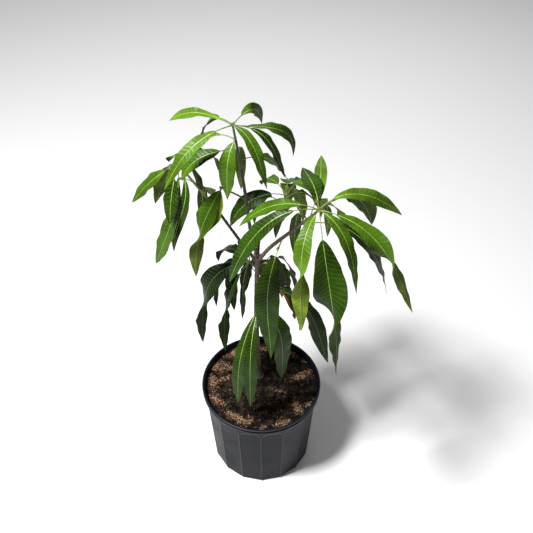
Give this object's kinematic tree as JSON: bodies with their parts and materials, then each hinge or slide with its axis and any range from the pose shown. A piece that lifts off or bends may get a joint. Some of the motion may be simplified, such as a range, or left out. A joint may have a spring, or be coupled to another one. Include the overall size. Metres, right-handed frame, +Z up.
{
  "type": "mango tree sapling in a nursery pot",
  "caption": "Young mango tree with long drooping glossy leaves in whorls on forked boughs, standing in a black moulded nursery pot filled with dark potting mix.",
  "frame": {"origin": "centre of the pot's flat underside", "axes": "+Z up along the trunk, +X to the right and +Y to the back as seen from the front"},
  "size_m": [0.5382, 0.4053, 0.994],
  "materials": {
    "moulded_plastic": "satin black polyethylene with faint mould marks",
    "potting_mix": "moist crumbly peat and bark with lighter dry patches",
    "woody_bark": "grey-brown young bark with fine ridges and leaf scars",
    "green_bark": "smooth dark green-brown shoot bark",
    "young_leaf": "glossy leathery leaf, pale midrib and fine side veins",
    "old_leaf": "darker glossy leathery leaf, pale midrib"
  },
  "bodies": {
    "root": {"pot": "moulded_plastic", "soil": "potting_mix", "trunk": "woody_bark", "right_bough": "woody_bark", "leader_bough": "green_bark", "left_bough": "green_bark", "back_bough": "green_bark", "top_leaves": "young_leaf", "left_leaves": "young_leaf", "inner_leaves": "young_leaf", "right_leaves": "young_leaf", "back_leaves": "young_leaf", "hanging_leaf": "young_leaf", "fork_leaves": "old_leaf", "lower_left_leaves": "old_leaf", "lower_front_leaves": "old_leaf", "lower_right_leaves": "old_leaf", "lower_back_leaves": "old_leaf"}
  },
  "joints": []
}
